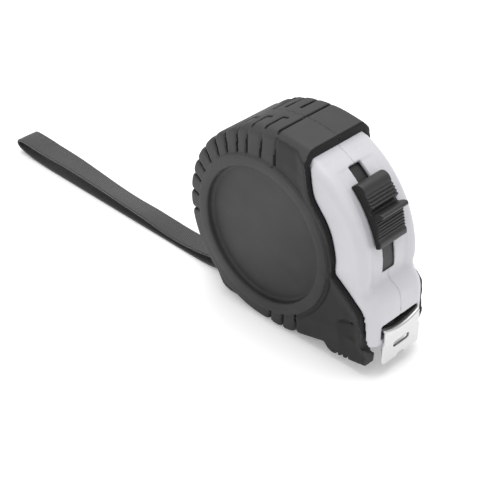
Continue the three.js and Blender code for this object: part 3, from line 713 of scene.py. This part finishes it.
def flank_level(x, z, tread, side, cut, wide, narrow, along):
    """How far out the flank stands: level by the ring, lower by the shoulder, raised along the nose."""
    reach = np.hypot(x, z - AXIS_Z)
    level = FLANK_SIDE - 0.1 * np.maximum(0, tread + 9.4)
    ring = 1 - ramp(RING_R - 0.1, RING_R + 0.25, reach)
    crown = 0.25 * np.clip((reach - 27.8) / 2.2, -1.2, 1.2) ** 2
    level = level + (RING_SIDE - crown * (reach < RING_R) - level) * ring
    raised = 1 - ramp(1.0, 5.5, NOSE_AREA(x, z))
    crest = RING_SIDE - 0.1 + 0.8 * (side > 0) * (1 - ramp(23.5, 26.5, z)) * ramp(41, 43, x)
    level = level + np.maximum(0, crest - level) * raised
    step = 0.9 * ramp(34.5, 38.5, x) * (1 - ramp(-0.9, 0.9, (z - 20.4) - 0.14 * (x - 38)))
    step = step * (1 - raised * (side > 0))
    slant = np.maximum(0, (x - 35.4) * 0.796 - (z - 16.9) * 0.605) * (z < 22)
    level = level - np.maximum(step, 0.065 * slant * (1 - ramp(17, 21, z)))
    flank_slot = narrow * ramp(-0.3, 0.2, along) * (1 - 0.65 * ramp(3, 8, along))
    level = level - 0.9 * flank_slot - 0.35 * wide * ramp(0.5, 4, along)
    # A shadowed hollow outside the ring's lower front, and the notch over the foot.
    turn = np.degrees(np.arctan2(z - AXIS_Z, x))
    hollow = np.exp(-((reach - RING_R - 0.9) / 0.8) ** 2) * ramp(-80, -50, turn) * (1 - ramp(5, 40, turn))
    return level - 0.7 * hollow * (reach > RING_R) - 0.3 * cut * (NOTCH(x, z) < 0)


def with_rails(body, x, q, z, side):
    """The grip cut away under the nose, where only its two rails and their toes are left."""
    body = high_of(body, -np.maximum(np.maximum(29.2 - x, q - 9.2), z - 12), 0.6)
    rail_side = q - 14.5 + 0.05 * np.maximum(0, 14 - z)
    rail = corner(corner(FOOT(x, z), rail_side, 0.7), 9.15 - q, 0.5)
    body = low_of(body, rail, 0.5)
    toe_top = (z - 8.4 - (q - 9.3) * 0.77) * 0.79
    return np.maximum(body, np.minimum(toe_top, x - 45.4 - (side > 0) * ramp(11, 13, z)))


def grip_field(side, cut=1.0):
    """One grip; with cut at zero its narrow grooves and notches are left out."""
    def field(x, y, z):
        q = y * side
        tread = TREAD(x, z)
        # Scalloped grooves part the lugs at the rear, on top and on the belly.
        aside, along = beside_grooves(x, z)
        belly = ramp(-1, 2, x) * (1 - ramp(18, 21, x)) * (1 - ramp(10, 14, z))
        on_top = 0.35 * ramp(60, 62, z) * (1 - ramp(2, 8, x))
        lobed = (1 - ramp(-16, -8, x)) * ramp(20, 26, z) + on_top + belly
        wide = np.minimum(lobed, 1) * np.exp(-(aside / 1.2) ** 2)
        narrow = cut * line_depth(aside)
        slots = (0.6 + 0.5 * ramp(12, 20, z)) * tread_slots(x, q, z, side, cut, narrow) * (tread > -3)
        drop = 0.65 * wide * ramp(6, 9.5, q) + slots
        flank = (q - flank_level(x, z, tread, side, cut, wide, narrow, along)) * 0.96
        # The shoulder is narrower round the rear and the belly than on top.
        shoulder = SHOULDER + 1.5 * (1 - ramp(-18, -4, x) * ramp(24, 40, z)) + 6 * ramp(32, 38, x) * (z < 36)
        bevel = (q + tread - shoulder + 0.5 * wide) * 0.7071
        body = high_of(high_of(tread + drop, bevel, 0.9), flank, 0.7)
        body = np.minimum(body, corner(KEEPER(x, z), q - KEEPER_SIDE, 0.7))
        body = with_rails(body, x, q, z, side)
        # The wall around the nose leans back a little outwards.
        wall = -(NOSE_AREA(x, z) - 0.15 - 0.25 * np.maximum(0, q - 14.2) * ramp(24, 30, z))
        body = high_of(body, wall, 0.3)
        body = np.maximum(body, GAP - casing_outside(x, q, z))
        recess = high_of(np.hypot(x, z - AXIS_Z) - RECESS_R, RECESS_SIDE - q, 1.2)
        body = high_of(body, -recess, 0.35)
        body = np.maximum(body, -pocket_field(x, q, z))
        body = np.maximum(body, -mouth_field(x, q, z, 34))
        if side > 0:
            for sx, sz in SCREWS:
                body = np.maximum(body, HEAD_R - np.hypot(x - sx, z - sz))
            body = np.maximum(body, CLIP_SCREW_R - np.hypot(x, z - CLIP_SCREW_Z))
        return corner(body, -0.25 - q, 0.1)

    return field


# The keeper that the strap leaves from, the rails under the nose and the notch above them.
KEEPER_SIDE = 12.0
KEEPER = outline([
    (-28, 17), (-26.4, 11.5), (-24.8, 5.6), (-22.8, 2.1), (-21.4, 0.9), (-18.5, 0.2), (-8, 0.4), (4, 8),
    (-18, 19),
])
FOOT = outline(
    [(27, 12), (28.6, 5.3)] + smooth([(29.2, 4.5), (29.9, 3.6), (31.6, 2.65), (33.3, 2.5)], 3)
    + [(34.0, 2.6), (34.1, 4.6), (34.7, 4.6), (34.8, 2.75), (36.2, 3.0), (36.3, 4.9), (36.9, 4.9),
       (37.0, 3.15), (38.6, 3.4), (38.7, 5.2), (39.3, 5.2), (39.4, 3.55), (47, 5.1), (47, 14), (27, 14)]
)
NOTCH = outline([(35.3, 18.3), (37.6, 21.2), (44.7, 22.0), (42.4, 20.3)])

# Where each kind of half is meshed: x, the outer y and z.
BOUNDS = {"grip": ((-37.2, 47.8), 17.4, (-0.6, 78.9)), "shell": ((-35, 50.6), 14.8, (0.6, 75.6))}


def make_half(kind, side, field, look, node):
    (x0, x1), y, (z0, z1) = BOUNDS[kind]
    low = [x0, -0.4 if side > 0 else -y, z0]
    high = [x1, y if side > 0 else 0.4, z1]
    made = skin(node + "_body", field, low, high, CELL, look)
    close_seam(made, side, field)
    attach(made, "casing")
    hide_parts(node)
    return made


def close_seam(made, side, field):
    """Lay the faces along the middle plane flat with a sharp edge, so that the halves meet in a fine line."""
    vertices = made.data.vertices
    flat = np.zeros(len(vertices) * 3)
    vertices.foreach_get("co", flat)
    points = (flat.reshape(-1, 3) - np.array(PLACE)) * 1000
    rounding, small = 0.3, 0.05
    near = np.abs(points[:, 1]) < rounding
    x, z = points[near, 0], points[near, 2]
    y = np.full(len(x), rounding * side)
    for _ in range(2):
        value = field(x, y, z)
        slope_x = (field(x + small, y, z) - value) / small
        slope_z = (field(x, y, z + small) - value) / small
        step = np.where(np.abs(value) < rounding, value, 0) / np.maximum(slope_x ** 2 + slope_z ** 2, 0.5)
        x, z = x - step * slope_x, z - step * slope_z
    points[near] = np.stack([x, np.full(len(x), 0.02 * side), z], 1)
    vertices.foreach_set("co", placed(points).ravel())
    made.data.update()


def shade(made, looks, chosen):
    """Give further materials to the faces picked by their centres (mm) and normals."""
    polygons = made.data.polygons
    centres, normals = np.zeros(len(polygons) * 3), np.zeros(len(polygons) * 3)
    polygons.foreach_get("center", centres)
    polygons.foreach_get("normal", normals)
    centres = (centres.reshape(-1, 3) - np.array(PLACE)) * 1000
    for look in looks:
        made.data.materials.append(look)
    polygons.foreach_set("material_index", chosen(centres, normals.reshape(-1, 3)).astype(np.int32))


def grip_painted_shade(side):
    """Picks the faces for painted shade: 1 for the rim wall, grooves and notch, darkened as shade falls
    there, 2 for the flank, darkened as its sides lie in shade, and 0 for the rest.
    """
    def chosen(centres, normals):
        x, y, z = centres.T
        rim = (np.abs(NOSE_AREA(x, z) - 0.15) < 0.45) & (normals[:, 0] > 0.2)
        sunk = (grip_field(side, 0.0)(x, y, z) < -0.35) & (np.abs(y) > 1)
        notch = (NOTCH(x, z) < 0.1) & (np.abs(y) > 12)
        flank = (np.abs(normals[:, 1]) > 0.8) & (np.hypot(x, z - AXIS_Z) > RING_R + 0.3)
        flank &= x > np.where(z > 36, 4.9, 16)
        return np.where(rim | sunk | notch, 1, np.where(flank, 2, 0))

    return chosen


for side, name in ((-1, "left"), (1, "right")):
    grip = make_half("grip", side, grip_field(side), RUBBER, "grip_" + name)
    # Painted shade: the darker rubber goes on the rim wall, grooves, notch and flank.
    shade(grip, [RUBBER_SHADE, RUBBER_FLANK_SHADE], grip_painted_shade(side))
    make_half("shell", side, shell_field(side), WHITE, "shell_" + name)


# ---- Thumb button, along the arc over the slot
BUTTON_MID = 31.9
BUTTON_BASE = 39.9


def ribs(first, count, pitch, root, fall):
    """A row of small ribs along the button's outline, each lower than the last by a fall."""
    row = []
    shape = ((-0.42, 0), (-0.26, 0.42), (0, 0.55), (0.26, 0.42), (0.42, 0))
    for i in range(count):
        row += [(first + i * pitch + s, root - i * fall + rise) for s, rise in shape]
    return row


def button_profile():
    """The button's outline from its upper end: a hump, ribs, a fin, more ribs and a lip."""
    hump = [(-11.8, 0), (-11.8, 1.1)] + smooth(
        [(-11.6, 2.0), (-10.8, 3.2), (-9.4, 3.9), (-7.9, 3.85), (-7.0, 3.4)], 4)
    fin = [(-1.85, 2.6), (-1.7, 1.9), (-0.75, 1.9), (-0.6, 2.8)] + smooth(
        [(-0.5, 5.2), (-0.2, 6.3), (0.45, 6.65), (1.05, 6.3), (1.4, 5.2)], 3) + [(1.55, 3.4)]
    lip = smooth([(8.3, 1.9), (8.8, 2.3), (9.9, 2.2), (10.8, 1.9), (11.1, 1.2)], 3) + [(11.2, 0)]
    return hump + ribs(-6.2, 4, 1.12, 3.35, 0) + fin + ribs(2.25, 6, 1.05, 3.05, 0.27) + lip


BUTTON_OUTLINE = outline(button_profile())


def button_field(x, y, z):
    q = np.abs(y)
    dx, dz = x - TOP_X, z - AXIS_Z
    height = np.hypot(dx, dz) - BUTTON_BASE
    s = (math.radians(BUTTON_MID) - np.arctan2(dz, dx)) * (BUTTON_BASE + 1.5)
    body = BUTTON_OUTLINE(s, height)
    fin = ramp(3.2, 3.8, height) * (np.abs(s - 0.5) < 1.4)
    half = 7.0 - 0.13 * height + 0.35 * fin
    return corner(body, q - half, 0.35)


def make_button():
    made = skin("thumb_button", button_field, (31, -7.6, 45), (50.5, 7.6, 71), 0.24, LOCK)
    # Painted shade: the side walls, facing across, take the darker copy of the plastic.
    shade(made, [LOCK_SIDE_SHADE], lambda centres, normals: np.abs(normals[:, 1]) > 0.6)
    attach(made, "lock")
    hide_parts("lock_button")


make_button()


# ---- Hook
HOOK_FACE = outline(
    [(9.4, 6.6), (9.4, 12.4), (8.8, 14.2), (8.8, 22), (-8.8, 22), (-8.8, 14.2), (-9.6, 12.4), (-9.6, 6.6)]
    + smooth([(-9.3, 5.6), (-8.6, 5.05)], 3)
    + [(-1.9, 5.0), (-1.2, 6.0), (1.2, 6.0), (1.9, 5.0), (8.3, 5.05), (9.1, 5.6)]
)


def hook_field(x, y, z):
    rise = BLADE_RISE * (y / BLADE_HALF) ** 2
    top = (z - 17.4 - rise) * 0.93
    face = np.maximum(HOOK_FACE(y, z), HOOK_BACK - x)
    tab = np.maximum(np.maximum((16.6 + rise - z) * 0.93, np.abs(y) - 8.8), 38 - x)
    body = corner(low_of(face, tab, 0.5), top, 0.3)
    body = np.maximum(body, corner(x - HOOK_FRONT, top, 0.9))
    hole = np.hypot(np.maximum(np.abs(y) - 3.1, 0), z - 10.9) - 1.1
    body = high_of(body, -hole, 0.25)
    for rivet in (41.5, 45.5):
        body = np.maximum(body, -box_field(x, y, z, (rivet - 2.4, -1.45, 12), (rivet + 1.5, 1.45, 22)))
    return body


def make_hook():
    made = skin("end_hook", hook_field, (37.6, -10.2, 4.5), (51.4, 10.2, 20.4), 0.2, NICKEL)
    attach(made, "hook")
    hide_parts("hook")


make_hook()


# ---- Blade between the coil and the hook, its sections set close together over a short stretch inside the mouth
DRAWN_FROM, DRAWN_TO = 36, 40


def blade_line():
    """The blade's middle line as x and z, and how far its edges have risen above it."""
    start, level, end = 4.6, 34.0, 49.7
    flat = 10.0  # up to this x it is flat, as on the coil
    low, high = DRAWN_FROM, DRAWN_TO
    x = np.concatenate([
        np.linspace(start, low, 40), np.linspace(low, high, 80)[1:], np.linspace(high, end, 24)[1:]
    ])
    span = level - start
    t = np.clip((x - start) / span, 0, 1)
    coil_z, slope = 10.6, 0.182
    z = coil_z * (2 * t ** 3 - 3 * t ** 2 + 1) + span * slope * (t ** 3 - 2 * t ** 2 + t)
    z += BLADE_Z * (3 * t ** 2 - 2 * t ** 3)
    return x, z, BLADE_RISE * ramp(flat, level, x)


def make_blade():
    line_x, line_z, rise = blade_line()
    y = np.linspace(-BLADE_HALF, BLADE_HALF, 29)
    n, m = len(line_x), len(y)
    points = np.zeros((2, n, m, 3))
    points[..., 0] = line_x[None, :, None]
    points[..., 1] = y[None, None, :]
    height = line_z[:, None] + rise[:, None] * (y[None, :] / BLADE_HALF) ** 2
    points[0, ..., 2] = height + 0.1
    points[1, ..., 2] = height - 0.1
    index = np.arange(2 * n * m).reshape(2, n, m)
    top, under = index
    upper = np.stack([top[:-1, :-1], top[1:, :-1], top[1:, 1:], top[:-1, 1:]], -1).reshape(-1, 4)
    lower = np.stack([under[:-1, :-1], under[:-1, 1:], under[1:, 1:], under[1:, :-1]], -1).reshape(-1, 4)
    walls = []
    for a, b, flip in (
        (top[:, 0], under[:, 0], False), (top[:, -1], under[:, -1], True), (top[0], under[0], True),
        (top[-1], under[-1], False),
    ):
        wall = np.stack([a[:-1], b[:-1], b[1:], a[1:]], -1)
        walls.append(wall[:, ::-1] if flip else wall)
    made = piece("blade_strip", points.reshape(-1, 3), np.concatenate([upper, lower, *walls]), BLADE)
    made.data.polygons.foreach_set("use_smooth", np.arange(len(made.data.polygons)) < len(upper) + len(lower))
    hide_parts("tape_lead")
    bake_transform(made)


make_blade()


# ---- Materials of the parts that keep their CAD shape
KEPT = {
    "spring_post": ZINC, "power_spring": SPRING, "hook_bumper": PAD, "belt_clip": NICKEL,
    "belt_clip_screw": ZINC, "strap_pin": ZINC, "reel_drum": REEL, "reel_cover": REEL, "tape_coil": COIL,
    "lock_arm": LOCK, "brake_pad": PAD,
    **{f"housing_screw_{i}": ZINC for i in (1, 2, 3, 4)}, **{f"hook_rivet_{i}": ZINC for i in (1, 2)},
}
for node, look in KEPT.items():
    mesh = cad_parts[node].data
    mesh.materials.clear()
    mesh.materials.append(look)


# ---- Floor and light
def make_floor():
    look, tree, surface = shader("floor", 0.85)
    noise = noise_texture(tree, object_coordinates(tree), Scale=6.0, Detail=3.0)
    tint(tree, surface, noise, [(0.3, 0.94), (0.7, 0.96)])
    surface.inputs["Specular IOR Level"].default_value = 0.1
    surface.inputs["Emission Color"].default_value = (1, 1, 1, 1)
    surface.inputs["Emission Strength"].default_value = 0.2
    mesh = bpy.data.meshes.new("floor")
    mesh.from_pydata([(-4, -4, 0), (4, -4, 0), (4, 4, 0), (-4, 4, 0)], [], [(0, 1, 2, 3)])
    mesh.materials.append(look)
    floor = bpy.data.objects.new("floor", mesh)
    bpy.context.scene.collection.objects.link(floor)


def area_light(name, where, aim, size, power):
    data = bpy.data.lights.new(name, "AREA")
    data.shape = "DISK"
    data.size = size
    data.energy = power
    light = bpy.data.objects.new(name, data)
    light.location = where
    light.rotation_euler = (Vector(aim) - Vector(where)).to_track_quat("-Z", "Y").to_euler()
    bpy.context.scene.collection.objects.link(light)


def make_light():
    world = bpy.data.worlds.new("studio")
    world.use_nodes = True
    background = world.node_tree.nodes["Background"]
    background.inputs["Color"].default_value = (1, 1, 1, 1)
    background.inputs["Strength"].default_value = 0.70
    bpy.context.scene.world = world
    aim = (0, 0, 0.03)
    area_light("overhead", (-0.1, 0.1, 0.9), aim, size=1.0, power=6.4)
    area_light("left", (-0.6, -0.8, 0.6), aim, size=0.7, power=0.8)
    bpy.context.scene.view_settings.view_transform = "Standard"


make_floor()
make_light()
